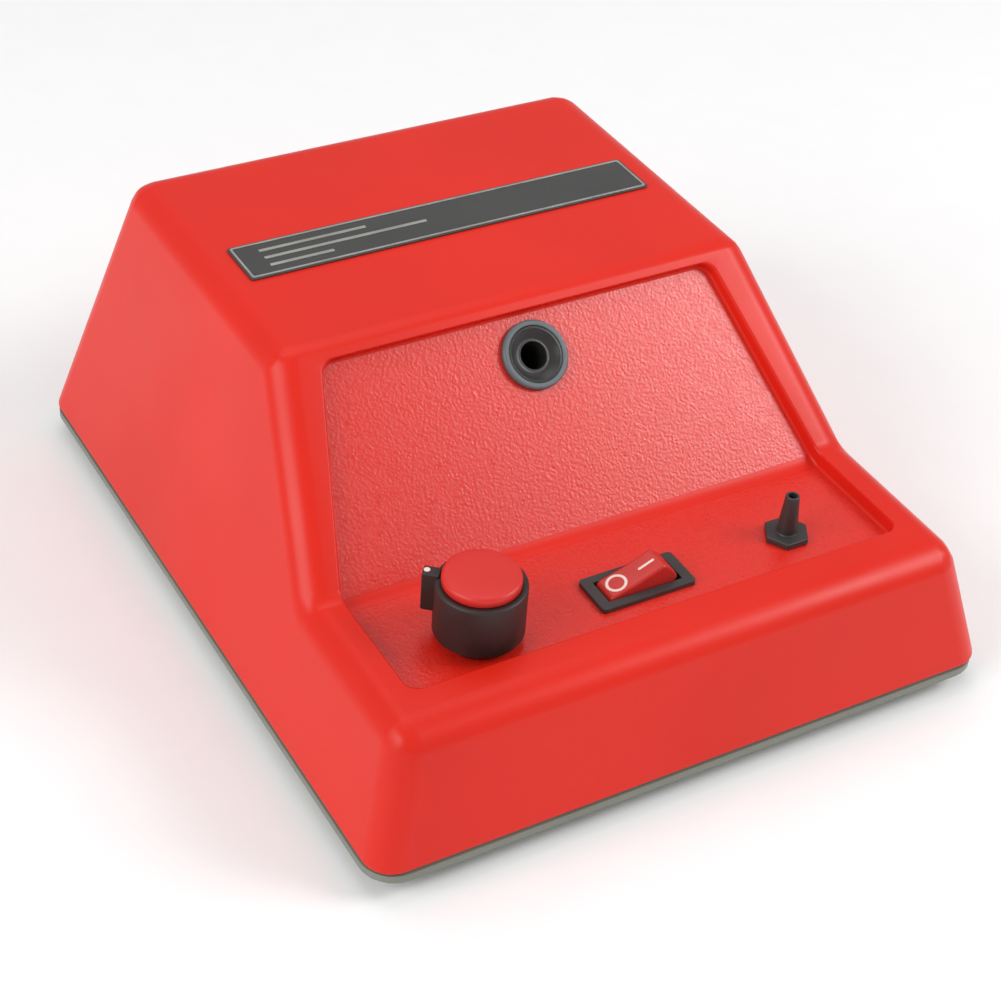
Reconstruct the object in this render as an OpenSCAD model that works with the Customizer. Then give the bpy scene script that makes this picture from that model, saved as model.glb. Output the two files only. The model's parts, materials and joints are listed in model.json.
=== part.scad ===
// Airbrush compressor: a moulded housing over a small motor-driven diaphragm pump.
// Millimetres. +X is the user's right, +Y is the back, +Z is up.
// The origin is on the surface that the feet stand on, at the middle of the body.

/* [Housing] */
// Width of the shell at its lower edge
shell_w = 198; // [190:1:215]
// Depth of the shell at its lower edge
shell_d = 234; // [228:1:250]
// Height of the front deck above the shell's lower edge
deck_h = 38; // [36:0.5:42]
// Height of the flat top above the shell's lower edge
top_h = 85.4; // [84:0.2:92]
// Distance from the front lower edge to the foot of the sloping panel
panel_foot = 64; // [60:1:68]
// Slope of the panel from the horizontal, in degrees
panel_slope = 45; // [42:1:48]
// Draft of the side walls, in degrees
side_draft = 15; // [12:1:16]
// Draft of the front wall, in degrees
front_draft = 14; // [10:1:16]
// Draft of the back wall, in degrees
back_draft = 13; // [8:1:15]
// Rounding of the shell's outer edges
edge_r = 9; // [6:0.5:10]
// Wall thickness of the moulding
wall = 2.6; // [2:0.1:3]

/* [Recess] */
// Depth of the recess in the deck
deck_recess = 4.5; // [3:0.5:5]
// Depth of the recess in the sloping panel
panel_recess = 3.5; // [3:0.5:4]
// Half width of the recess on the deck
recess_half_w = 78; // [74:1:80]
// Half width of the recess at the top of the panel
recess_top_half_w = 63; // [58:1:66]
// Length of the deck floor, from front to crease
deck_floor_l = 40; // [36:1:42]
// Length of the panel floor, from crease to top
panel_floor_l = 65.5; // [60:0.5:67]
// Corner radius of the recess
recess_r = 4.5; // [3:0.5:8]

/* [Base] */
// Height of the rubber feet below the pan
foot_h = 6; // [4:0.5:10]
// Height of the pan's visible edge
pan_edge = 2.4; // [2:0.2:4]
// Dark gap between the pan's edge and the shell
shadow_gap = 0.8; // [0.4:0.1:1.2]

/* [Controls] */
// Distance of the controls in front of the crease
control_set = 25; // [22:0.5:27]
// Distance from the switch to the knob and to the outlet
control_pitch = 50; // [44:1:54]
// Height of the knob's cap above the deck floor
knob_h = 22; // [18:0.5:26]
// Diameter of the knob's body
knob_d = 24.8; // [20:0.2:28]
// Direction of the knob's pointer, in degrees from the user's right
pointer_angle = 139; // [0:1:180]
// Turn of the knob from open to closed, in degrees
knob_turn = 270; // [180:10:300]
// Thread pitch of the regulator spindle
spindle_pitch = 1.25; // [0.8:0.05:1.4]
// Length of the switch bezel
switch_l = 30; // [28:1:32]
// Width of the switch bezel
switch_w = 14; // [13:0.5:16]
// Tilt of the rocker to either side of level, in degrees
rocker_tilt = 20; // [10:1:20]
// Height of the outlet's spigot above its flange
spigot_h = 12.6; // [10:0.2:16]
// Distance of the airbrush rest above the crease, along the panel
rest_up = 52.5; // [50:0.5:54]
// Outer diameter of the airbrush rest's collar
rest_d = 20.2; // [18:0.2:22]
// Diameter of the hole that holds the airbrush
rest_hole_d = 8; // [7:0.2:10]

/* [Motor and pump] */
// Throw of the eccentric
throw = 1.5; // [1:0.1:1.6]
// Diameter of the motor shaft
shaft_d = 6; // [5:0.5:6]
// Diameter of the rotor
rotor_d = 29.8; // [28:0.2:29.8]
// Bore of the cylinder under the diaphragm
cylinder_d = 34; // [30:1:34]

/* [Hidden] */
$fn = 64;
hull_fn = 32;
fit = 0.05;
cut = 40;

// Levels of the housing
pan_z = foot_h;
pan_top_z = pan_z + pan_edge + shadow_gap;
shell_z = pan_top_z;
deck_z = shell_z + deck_h;
top_z = shell_z + top_h;
floor_z = deck_z - deck_recess;
ceiling_z = floor_z - wall;
front_edge_y = -shell_d / 2;
back_edge_y = shell_d / 2;
panel_foot_y = front_edge_y + panel_foot;

// The crease is where the deck floor meets the panel floor
crease_y = panel_foot_y - deck_recess / tan(panel_slope) + panel_recess / sin(panel_slope);
control_y = crease_y - control_set;
knob_x = -control_pitch;
outlet_x = control_pitch;

// The walls' planes at a height z, moved inwards by d
function side_x(z, d = 0) = shell_w / 2 - (z - shell_z) * tan(side_draft) - d / cos(side_draft);
function front_y(z, d = 0) = front_edge_y + (z - shell_z) * tan(front_draft) + d / cos(front_draft);
function back_y(z, d = 0) = back_edge_y - (z - shell_z) * tan(back_draft) - d / cos(back_draft);
function panel_y(z, d = 0) = panel_foot_y + (z - deck_z) / tan(panel_slope) + d / sin(panel_slope);

// A convex outline, listed anticlockwise, with its corners rounded to radius r
function unit(v) = v / norm(v);
function corner(before, at, after, r, steps) =
    let (u = unit(before - at), v = unit(after - at), half = acos(u * v) / 2)
    let (centre = at + unit(u + v) * r / sin(half), start = at + u * r / tan(half) - centre)
    let (first = atan2(start.y, start.x), sweep = 180 - 2 * half)
    [for (k = [0:steps]) let (a = first + sweep * k / steps) centre + r * [cos(a), sin(a)]];
function rounded(outline, r, steps = 8) =
    let (n = len(outline))
    [for (i = [0:n - 1]) each corner(outline[(i + n - 1) % n], outline[i], outline[(i + 1) % n], r, steps)];
function oblong(half_x, half_y) =
    [[-half_x, -half_y], [half_x, -half_y], [half_x, half_y], [-half_x, half_y]];

// A smooth route through hand-set points, and a round tube swept along it
function spline(p, i, t) =
    let (n = len(p) - 1, a = p[max(i - 1, 0)], b = p[i], c = p[i + 1], d = p[min(i + 2, n)])
    0.5 * (2 * b + (c - a) * t + (2 * a - 5 * b + 4 * c - d) * t * t + (3 * b - a - 3 * c + d) * t * t * t);
function route(p, steps) =
    [for (i = [0:len(p) - 2]) for (k = [0:steps - 1]) spline(p, i, k / steps), p[len(p) - 1]];
function heading(p, i) = unit(p[min(i + 1, len(p) - 1)] - p[max(i - 1, 0)]);
function carried(side, along) = unit(side - (side * along) * along);
function sides(p, i, side) =
    i == len(p) ? [] :
    let (s = carried(side, heading(p, i))) concat([s], sides(p, i + 1, s));

module tube(points, d, steps = 4, facets = 8) {
    path = route(points, steps);
    first_side = cross(heading(path, 0), [0.1, 0.2, 1]);
    across = sides(path, 0, unit(first_side));
    rings = [for (i = [0:len(path) - 1]) for (k = [0:facets - 1])
        let (s = across[i], t = cross(heading(path, i), s), a = 360 * k / facets)
        path[i] + d / 2 * (cos(a) * s + sin(a) * t)];
    last = (len(path) - 1) * facets;
    walls = [for (i = [0:len(path) - 2]) for (k = [0:facets - 1])
        let (j = (k + 1) % facets, a = i * facets, b = a + facets)
        each [[a + k, b + k, a + j], [a + j, b + k, b + j]]];
    ends = [[for (k = [0:facets - 1]) k], [for (k = [facets - 1:-1:0]) last + k]];
    polyhedron(points = rings, faces = concat(walls, ends), convexity = 6);
}

// Cylinders that lie along X and Y
module x_cylinder(r, x0, x1) {
    translate([x0, 0, 0]) rotate([0, 90, 0]) cylinder(r = r, h = x1 - x0);
}
module y_cylinder(r, y0, y1) {
    translate([0, y1, 0]) rotate([90, 0, 0]) cylinder(r = r, h = y1 - y0);
}
module box(low, high) {
    translate(low) cube(high - low);
}

// A screw that points up from the middle of its head's underside
module screw(d, l, head_d, head_h) {
    cylinder(d = d, h = l);
    translate([0, 0, -head_h]) cylinder(d = head_d, h = head_h);
}
module nut(across_flats, h, bore_d) {
    difference() {
        cylinder(d = across_flats / cos(30), h = h, $fn = 6);
        translate([0, 0, -1]) cylinder(d = bore_d, h = h + 2);
    }
}

// Places children on the panel floor: X stays, Y runs up the slope, Z is the floor's normal
module on_panel(up = 0) {
    translate([0, crease_y, floor_z]) rotate([panel_slope, 0, 0]) translate([0, up, 0]) children();
}

// ---- Housing ----

// The outside of the body, moved inwards by d. The lower body runs under the upper one,
// narrower by a hair, so that their sides don't lie in one plane
hair = 0.04;
module lower_body(d) {
    low = shell_z - 2 * edge_r;
    high = deck_z - edge_r;
    hull() for (z = [low, high], s = [-1, 1]) {
        translate([s * (side_x(z, edge_r) - hair), front_y(z, edge_r), z]) sphere(r = edge_r - d, $fn = hull_fn);
        translate([s * (side_x(z, edge_r) - hair), 0, z]) sphere(r = edge_r - d, $fn = hull_fn);
    }
}
module upper_body(d) {
    low = shell_z - 2 * edge_r;
    high = top_z - edge_r;
    hull() for (z = [low, high], s = [-1, 1]) {
        translate([s * side_x(z, edge_r), panel_y(z, edge_r), z]) sphere(r = edge_r - d, $fn = hull_fn);
        translate([s * side_x(z, edge_r), back_y(z, edge_r), z]) sphere(r = edge_r - d, $fn = hull_fn);
    }
}
module body(d) {
    lower_body(d);
    upper_body(d);
}

// The recess over the deck and the panel, larger all round by grow
module recess(grow = 0) {
    half_w = recess_half_w + grow;
    top_half_w = recess_top_half_w + grow;
    bend = grow > 0 ? grow * tan(panel_slope / 2) + 1 : 0;
    front = crease_y - deck_floor_l - grow;
    back = crease_y + bend;
    translate([0, 0, floor_z - grow]) linear_extrude(cut) intersection() {
        polygon(rounded(
            [[-half_w, front], [half_w, front], [half_w, back + cut], [-half_w, back + cut]], recess_r));
        translate([-half_w, front]) square([2 * half_w, back - front]);
    }
    top = panel_floor_l + grow;
    lean = (half_w - top_half_w) / top;
    foot_half_w = half_w + hair;
    on_panel() translate([0, 0, -grow]) linear_extrude(cut / 2) intersection() {
        polygon(rounded([[-foot_half_w - lean * cut, -cut], [foot_half_w + lean * cut, -cut],
            [top_half_w, top], [-top_half_w, top]], recess_r));
        translate([-half_w - cut, -bend]) square([2 * half_w + 2 * cut, top + 2 * bend]);
    }
}

boss_places = [for (s = [-1, 1]) each [[82 * s, front_edge_y + 17], [82 * s, back_edge_y - 22]]];
boss_d = 8;
boss_bore_d = 3;
screw_pilot_h = 18;

bush_x = -79;
bush_z = 26;
bush_d = 12;

// Places children on the back wall, Z outwards
module on_back_wall(x, z) {
    translate([x, back_y(z), z]) rotate([back_draft - 90, 0, 0]) children();
}

vent_count = 7;
vent_pitch = 7;
vent_w = 3;
vent_l = 26;
module wall_vents() {
    for (i = [0:vent_count - 1])
        on_back_wall(12 + vent_pitch * i, 52) translate([-vent_w / 2, -vent_l / 2, -cut / 2]) cube([vent_w, vent_l, cut]);
}

knob_hole_d = 10.4;
outlet_hole_d = 9.2;
sleeve_d = 16;
module deck_holes() {
    translate([knob_x, control_y, ceiling_z - 1]) cylinder(d = knob_hole_d, h = cut / 2);
    translate([outlet_x, control_y, ceiling_z - 1]) cylinder(d = outlet_hole_d, h = cut / 2);
    translate([-switch_l / 2 + 1, control_y - switch_w / 2 + 1, ceiling_z - 1])
        cube([switch_l - 2, switch_w - 2, cut / 2]);
    on_panel(rest_up) translate([0, 0, -cut / 2]) cylinder(d = sleeve_d + 2 * fit, h = cut);
}

module housing_shell() {
    color([0.87, 0.21, 0.18]) difference() {
        body(0);
        difference() {
            body(wall);
            recess(wall);
            for (p = boss_places) translate([p.x, p.y, 0]) cylinder(d = boss_d, h = 64);
        }
        recess();
        deck_holes();
        wall_vents();
        on_back_wall(bush_x, bush_z) translate([0, 0, -cut / 2]) cylinder(d = bush_d, h = cut);
        for (p = boss_places)
            translate([p.x, p.y, 0]) cylinder(d = boss_bore_d, h = shell_z + screw_pilot_h);
        translate([-shell_w, -shell_d, shell_z - 2 * cut]) cube([2 * shell_w, 2 * shell_d, 2 * cut]);
    }
}

// ---- Base ----

foot_places = [for (s = [-1, 1]) each [[74 * s, front_edge_y + 27], [74 * s, back_edge_y - 32]]];
foot_d = 18;
foot_screw_d = 3;
mount_places = [for (x = [-50, 38], y = [14, 90]) [x, y]];
mount_screw_d = 4;
pan_vents = [for (x = [-24:8:24]) x];

module pan_outline(inset) {
    polygon(rounded(oblong(shell_w / 2 - inset, shell_d / 2 - inset), edge_r + 1 - inset));
}
module base_pan() {
    lip_inset = 4.6;
    color([0.80, 0.81, 0.78]) difference() {
        union() {
            translate([0, 0, pan_z]) linear_extrude(pan_edge) pan_outline(0);
            translate([0, 0, pan_z]) linear_extrude(pan_top_z - pan_z) pan_outline(1);
            translate([0, 0, pan_z]) linear_extrude(pan_top_z - pan_z + 3) difference() {
                pan_outline(lip_inset);
                pan_outline(lip_inset + 1.6);
            }
        }
        for (p = boss_places) translate([p.x, p.y, pan_z]) {
            cylinder(d = boss_bore_d + 0.4, h = cut / 2);
            cylinder(d = 6.4, h = 2);
        }
        for (p = boss_places) translate([p.x, p.y, pan_top_z]) cylinder(d = boss_d + 1, h = cut / 2);
        for (p = foot_places) translate([p.x, p.y, pan_z - 1]) cylinder(d = foot_screw_d, h = cut / 2);
        for (p = mount_places) translate([p.x, p.y, pan_z]) {
            translate([0, 0, -1]) cylinder(d = mount_screw_d + 0.4, h = cut / 2);
            cylinder(d = 8, h = 1.9);
        }
        for (x = pan_vents) box([x - vent_w / 2, -40, 0], [x + vent_w / 2, -4, cut / 2]);
    }
}
module base_screws() {
    color("silver") for (p = boss_places)
        translate([p.x, p.y, pan_z + 2]) screw(d = boss_bore_d - 0.1, l = 16, head_d = 6, head_h = 1.8);
}
module rubber_feet() {
    color([0.1, 0.1, 0.1]) for (p = foot_places) translate([p.x, p.y, 0]) difference() {
        cylinder(d1 = foot_d - 2, d2 = foot_d, h = foot_h);
        translate([0, 0, -1]) cylinder(d = 7.4, h = 4);
        cylinder(d = foot_screw_d + 0.4, h = cut);
    }
}
module foot_screws() {
    color("silver") for (p = foot_places)
        translate([p.x, p.y, 3]) screw(d = foot_screw_d - 0.1, l = foot_h - 1, head_d = 6.4, head_h = 1.8);
}

// ---- Nameplate ----

plate_w = 132;
plate_l = 18;
plate_t = 0.6;
plate_y = 39.5;
module nameplate() {
    color([0.29, 0.29, 0.28]) translate([0, plate_y, top_z]) linear_extrude(plate_t)
        polygon(rounded(oblong(plate_w / 2, plate_l / 2), 1.2));
}
// A plain border and three bars, in place of lettering
module nameplate_inlay() {
    border = 0.7;
    bar_l = [34, 52, 20];
    color([0.78, 0.78, 0.75]) translate([0, plate_y, top_z + plate_t]) linear_extrude(0.15) {
        difference() {
            polygon(rounded(oblong(plate_w / 2 - 0.6, plate_l / 2 - 0.6), 0.9));
            polygon(rounded(oblong(plate_w / 2 - 0.6 - border, plate_l / 2 - 0.6 - border), 0.6));
        }
        for (i = [0:2]) translate([-plate_w / 2 + 8, 4 - 4 * i - 0.6]) square([bar_l[i], 1.2]);
    }
}

// ---- Airbrush rest ----

collar_h = 2;
sleeve_l = 30;
mouth_d = 16.1;
mouth_z = collar_h - 0.4;
module rest_collar() {
    color([0.45, 0.49, 0.51]) on_panel(rest_up) difference() {
        cylinder(d = rest_d, h = collar_h);
        translate([0, 0, -1]) cylinder(d = mouth_d + 0.6, h = collar_h + 2);
    }
}
module rest_sleeve() {
    color([0.16, 0.15, 0.15]) on_panel(rest_up) difference() {
        union() {
            translate([0, 0, -sleeve_l]) cylinder(d = sleeve_d, h = sleeve_l);
            cylinder(d = mouth_d + 0.5, h = mouth_z);
        }
        translate([0, 0, -sleeve_l - 1]) cylinder(d = rest_hole_d, h = cut);
        cylinder(d1 = rest_hole_d, d2 = mouth_d, h = mouth_z + 0.01);
    }
}

// ---- Switch ----

bezel_h = 1.5;
switch_z = floor_z + bezel_h;
body_low_z = floor_z - 14;
well_half_l = 11.8;
rocker_gap = 0.3;
rocker_w = 8.2;
pivot_z = switch_z - 3.5;
well_z = pivot_z - 6.5;
pivot_d = 2.4;
terminal_places = [-7, 7];

module switch_body() {
    color([0.13, 0.13, 0.13]) difference() {
        union() {
            translate([0, control_y, floor_z]) linear_extrude(bezel_h)
                polygon(rounded(oblong(switch_l / 2, switch_w / 2), 1.2));
            box([-switch_l / 2 + 1.3, control_y - switch_w / 2 + 1.3, body_low_z],
                [switch_l / 2 - 1.3, control_y + switch_w / 2 - 1.3, floor_z + 0.5]);
        }
        box([-well_half_l, control_y - rocker_w / 2 - rocker_gap, well_z],
            [well_half_l, control_y + rocker_w / 2 + rocker_gap, cut * 2]);
        translate([0, control_y, pivot_z]) y_cylinder(pivot_d / 2 + fit, -5.4, 5.4);
        for (x = terminal_places)
            box([x - 0.45, control_y - 2.45, body_low_z - 1], [x + 0.45, control_y + 2.45, well_z + 1]);
    }
}

// The rocker's side view: two facets meet in a shallow valley, and the ends are arcs about the pivot
rocker_valley_z = 7;
rocker_corner = [8.6, 7.4];
rocker_keel = [3, -4.4];
rocker_end_r = norm(rocker_corner);
rocker_end_a = atan2(rocker_corner.y, rocker_corner.x);
rocker_end = [for (a = [rocker_end_a:-rocker_end_a / 6:-0.1]) rocker_end_r * [cos(a), sin(a)]];
module rocker_profile() {
    half = concat([[0, rocker_valley_z]], rocker_end, [rocker_keel]);
    polygon([each half, for (i = [len(half) - 1:-1:1]) [-half[i].x, half[i].y]]);
}
module rocker_frame() {
    translate([0, control_y, pivot_z]) rotate([0, -rocker_tilt, 0]) children();
}
module switch_rocker() {
    color([0.80, 0.17, 0.14]) rocker_frame() difference() {
        union() {
            rotate([90, 0, 0]) translate([0, 0, -rocker_w / 2]) linear_extrude(rocker_w) rocker_profile();
            y_cylinder(pivot_d / 2, -5.2, 5.2);
        }
        rocker_signs(mark_depth + 1);
    }
}
facet_angle = atan((rocker_corner.y - rocker_valley_z) / rocker_corner.x);
mark_depth = 0.3;
mark_set = 4.9;
ring_d = 6.2;
ring_line = 0.85;
line_l = 5.2;
line_w = 0.8;
module on_facet(side) {
    translate([0, 0, rocker_valley_z]) rotate([0, -side * facet_angle, 0])
        translate([side * mark_set, 0, -mark_depth]) children();
}
// The ring for off and the line for on, which start at the floor of their grooves and are h high
module rocker_signs(h) {
    on_facet(-1) linear_extrude(h) difference() {
        circle(d = ring_d);
        circle(d = ring_d - 2 * ring_line);
    }
    on_facet(1) translate([-line_l / 2, -line_w / 2, 0]) cube([line_l, line_w, h]);
}
module rocker_marks() {
    color("white") rocker_frame() rocker_signs(mark_depth);
}
module switch_terminals() {
    color([0.8, 0.75, 0.6]) for (x = terminal_places)
        box([x - 0.4, control_y - 2.4, body_low_z - 6], [x + 0.4, control_y + 2.4, well_z + 0.8]);
}

// ---- Pressure knob and regulator ----

cap_d = 21.4;
cap_h = 3;
knob_gap = 0.8;
knob_low_z = floor_z + knob_gap;
cap_low_z = floor_z + knob_h - cap_h;
cap_top_z = floor_z + knob_h;
wing_tip = 15.7;
wing_w = 3.8;
wing_low_z = floor_z + 7.5;
wing_top_z = cap_low_z + 0.8;
dot_d = 1.8;
dot_h = 0.3;
skirt_h = 2.4;
skirt_d = knob_d - 2.4;
skirt_foot_d = knob_d - 4.4;
notch_count = 8;
notch_r = 1.8;
neck_d = 10;
spindle_d = 5;
regulator_d = 22;
regulator_low_z = 11;
inlet_z = 25;
outlet_port_z = 15;
seat_z = 19;
spindle_low_z = seat_z + spindle_pitch * knob_turn / 360 + 0.26;
spindle_top_z = floor_z + 14;
nut_h = 3;

// The knob's axis, with +X along its pointer
module at_knob() {
    translate([knob_x, control_y, 0]) rotate([0, 0, pointer_angle]) children();
}
module at_regulator() {
    translate([knob_x, control_y, 0]) children();
}
module knob_body() {
    color([0.17, 0.14, 0.13]) at_knob() difference() {
        union() {
            translate([0, 0, knob_low_z]) cylinder(d1 = skirt_foot_d, d2 = skirt_d, h = skirt_h);
            translate([0, 0, knob_low_z + skirt_h]) cylinder(d = knob_d, h = cap_low_z - knob_low_z - skirt_h);
            box([0, -wing_w / 2, wing_low_z], [wing_tip, wing_w / 2, wing_top_z]);
        }
        translate([0, 0, cap_low_z]) cylinder(d = cap_d + 2 * fit, h = cut);
        cylinder(d = 18, h = floor_z + nut_h + 2.4);
        cylinder(d = spindle_d + 2 * fit, h = cap_low_z - 1.6);
        for (i = [0:notch_count - 1]) rotate([0, 0, 360 * (i + 0.5) / notch_count])
            translate([skirt_d / 2 + 0.2, 0, knob_low_z - 1]) cylinder(r = notch_r, h = skirt_h + 1.4);
    }
}
module knob_cap() {
    shoulder = 1.1;
    color([0.85, 0.22, 0.21]) at_knob() translate([0, 0, cap_low_z]) rotate_extrude()
        polygon([[0, 0], [cap_d / 2, 0], [cap_d / 2, cap_h - shoulder - 0.3],
            for (a = [0:15:90]) [cap_d / 2 - shoulder + shoulder * cos(a), cap_h - shoulder - 0.3 + shoulder * sin(a)],
            [0, cap_h]]);
}
module knob_pointer() {
    color("white") at_knob() translate([wing_tip - dot_d / 2 - 0.2, 0, wing_top_z]) cylinder(d = dot_d, h = dot_h);
}
module regulator_body() {
    color([0.72, 0.62, 0.35]) at_regulator() difference() {
        union() {
            translate([0, 0, regulator_low_z]) cylinder(d = regulator_d, h = ceiling_z - regulator_low_z);
            translate([0, 0, ceiling_z]) cylinder(d = neck_d, h = floor_z + nut_h + 1 - ceiling_z);
            translate([0, 0, outlet_port_z]) x_cylinder(2.6, 0, regulator_d / 2 + 9);
            translate([0, 0, inlet_z]) y_cylinder(2.6, 0, regulator_d / 2 + 9);
        }
        translate([0, 0, seat_z]) cylinder(d = spindle_d + 2 * fit, h = cut * 2);
        translate([0, 0, outlet_port_z]) cylinder(d = 2.4, h = cut);
        translate([0, 0, outlet_port_z]) x_cylinder(1.2, 0, regulator_d);
        translate([0, 0, inlet_z]) y_cylinder(1.2, 0, regulator_d);
        translate([0, 0, ceiling_z - 4]) rotate_extrude() translate([spindle_d / 2 + 0.7, 0]) circle(d = 1.5);
    }
}
module spindle_seal() {
    color("black") at_regulator() translate([0, 0, ceiling_z - 4])
        rotate_extrude() translate([spindle_d / 2 + 0.75, 0]) circle(d = 1.4);
}
module regulator_nut() {
    color("silver") at_regulator() translate([0, 0, floor_z]) nut(13, nut_h, neck_d + 0.1);
}
module regulator_spindle() {
    tip_h = 3;
    color([0.78, 0.68, 0.4]) at_regulator() {
        translate([0, 0, spindle_low_z]) cylinder(d1 = 1, d2 = spindle_d, h = tip_h);
        translate([0, 0, spindle_low_z + tip_h]) cylinder(d = spindle_d, h = spindle_top_z - spindle_low_z - tip_h);
    }
}

// ---- Hose outlet ----

flange_h = 2;
flange_af = 11.8;
land_h = 3;
spigot_z = floor_z + flange_h;
spigot_d = 5.6;
spigot_tip_d = 4;
spigot_bore_d = 2.6;
elbow_z = outlet_port_z;
module at_outlet() {
    translate([outlet_x, control_y, 0]) children();
}
// A round land at the root, with a plain taper above it
module spigot_profile() {
    polygon([[0, 0], [spigot_d / 2, 0], [spigot_d / 2, land_h], [spigot_tip_d / 2, spigot_h], [0, spigot_h]]);
}
module outlet_spigot() {
    color([0.12, 0.12, 0.12]) at_outlet() difference() {
        union() {
            translate([0, 0, floor_z]) cylinder(d = flange_af / cos(30), h = flange_h, $fn = 6);
            translate([0, 0, spigot_z]) rotate_extrude() spigot_profile();
            translate([0, 0, elbow_z - 4]) cylinder(d = 8, h = floor_z - elbow_z + 4);
            translate([0, 0, elbow_z]) x_cylinder(2.6, -13, 0);
        }
        translate([0, 0, elbow_z]) cylinder(d = spigot_bore_d, h = cut * 2);
        translate([0, 0, elbow_z]) x_cylinder(spigot_bore_d / 2, -cut, 0);
    }
}
module outlet_washer() {
    color("black") at_outlet() translate([0, 0, ceiling_z - 1]) difference() {
        cylinder(d = 15, h = 1);
        translate([0, 0, -1]) cylinder(d = 8.1, h = 3);
    }
}
module outlet_nut() {
    color("silver") at_outlet() translate([0, 0, ceiling_z - 1 - nut_h]) nut(13, nut_h, 8.1);
}

// ---- Motor ----

motor_y = 38;
chassis_z = 15;
chassis_t = 2;
plate_z = chassis_z + chassis_t;
stator_x0 = -46;
stator_x1 = -22;
pole_half = 20;
axis_z = plate_z + 22;
arm_h = 8;
leg_y0 = motor_y + 32;
leg_y1 = motor_y + 42;
stator_top_z = axis_z + 22;
rotor_gap = 0.4;
bracket_x = -54.5;
bracket_t = 2.5;
wall_x = -13;
wall_t = 4;
bush_l = 7;
bush_bore_d = shaft_d + 2 * fit;
motor_screw_d = 3;
motor_screw_places = [for (y = [-15.5, 15.5], z = [-17.5, 17.5]) [y, z]];

module on_axis() {
    translate([0, motor_y, axis_z]) children();
}
module stator_core() {
    color([0.45, 0.46, 0.47]) difference() {
        box([stator_x0, motor_y - pole_half, plate_z], [stator_x1, leg_y1, stator_top_z]);
        box([stator_x0 - 1, motor_y + pole_half, plate_z + arm_h], [stator_x1 + 1, leg_y0, stator_top_z - arm_h]);
        on_axis() x_cylinder(rotor_d / 2 + rotor_gap, stator_x0 - 1, stator_x1 + 1);
        on_axis() for (p = motor_screw_places)
            translate([0, p.x, p.y]) x_cylinder(motor_screw_d / 2 + 0.1, stator_x0 - 1, stator_x1 + 1);
    }
}
module coil_bobbin() {
    low = plate_z + arm_h + 0.2;
    high = stator_top_z - arm_h - 0.2;
    color([0.9, 0.88, 0.8]) difference() {
        union() {
            box([stator_x0 - 1.6, leg_y0 - 1.6, low], [stator_x1 + 1.6, leg_y1 + 1.6, high]);
            for (z = [low, high - 1.2])
                box([stator_x0 - 8, leg_y0 - 8, z], [stator_x1 + 8, leg_y1 + 8, z + 1.2]);
        }
        box([stator_x0 - fit, leg_y0 - fit, 0], [stator_x1 + fit, leg_y1 + fit, 2 * cut]);
    }
}
module stator_coil() {
    low = plate_z + arm_h + 1.4;
    high = stator_top_z - arm_h - 1.4;
    color([0.72, 0.4, 0.2]) translate([0, 0, low]) linear_extrude(high - low) difference() {
        translate([(stator_x0 + stator_x1) / 2, (leg_y0 + leg_y1) / 2])
            polygon(rounded(oblong((stator_x1 - stator_x0) / 2 + 7.4, (leg_y1 - leg_y0) / 2 + 7.4), 5));
        translate([stator_x0 - 1.6, leg_y0 - 1.6]) square([stator_x1 - stator_x0 + 3.2, leg_y1 - leg_y0 + 3.2]);
    }
}
module rotor_core() {
    color([0.6, 0.6, 0.62]) on_axis() difference() {
        union() {
            x_cylinder(rotor_d / 2, stator_x0 - 1, stator_x1 + 1);
            x_cylinder(rotor_d / 2 - 2, stator_x0 - 2, stator_x1 + 2);
        }
        x_cylinder(shaft_d / 2, stator_x0 - 3, stator_x1 + 3);
    }
}
shaft_x0 = -74;
shaft_x1 = 12;
module motor_shaft() {
    color([0.75, 0.75, 0.77]) on_axis() x_cylinder(shaft_d / 2, shaft_x0, shaft_x1);
}
module rear_bracket() {
    color([0.62, 0.63, 0.64]) on_axis() difference() {
        union() {
            translate([bracket_x - bracket_t, -pole_half, -21.5]) cube([bracket_t, 2 * pole_half, 43]);
            for (p = motor_screw_places) translate([0, p.x, p.y]) x_cylinder(4, bracket_x, stator_x0);
            x_cylinder(8, bracket_x - bracket_t, bracket_x - bracket_t + bush_l);
        }
        x_cylinder(6, bracket_x - cut, bracket_x + cut);
        for (p = motor_screw_places) translate([0, p.x, p.y])
            x_cylinder(motor_screw_d / 2 + 0.1, bracket_x - cut, stator_x0 + 1);
        for (a = [0:90:270]) rotate([a, 0, 0]) translate([0, 0, 13.5])
            x_cylinder(4, bracket_x - cut, bracket_x + 1);
    }
}
module shaft_bushes() {
    color([0.75, 0.55, 0.3]) on_axis() for (x = [bracket_x - bracket_t, wall_x - 3]) difference() {
        x_cylinder(6, x, x + bush_l);
        x_cylinder(bush_bore_d / 2, x - 1, x + bush_l + 1);
    }
}
module motor_screws() {
    head_x = bracket_x - bracket_t;
    color("silver") on_axis() for (p = motor_screw_places) translate([0, p.x, p.y]) {
        x_cylinder(motor_screw_d / 2, head_x, wall_x + 2);
        x_cylinder(2.8, head_x - 2.4, head_x);
    }
}
module cooling_fan() {
    blades = 9;
    color([0.85, 0.85, 0.83]) on_axis() difference() {
        union() {
            x_cylinder(7, -73.5, -65);
            for (i = [0:blades - 1]) rotate([360 / blades * i, 0, 0])
                translate([-69.2, 0, 14.5]) rotate([0, 0, 32]) cube([1.2, 9.5, 17], center = true);
        }
        x_cylinder(shaft_d / 2, -cut * 2, -60);
    }
}

// ---- Pump ----

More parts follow.
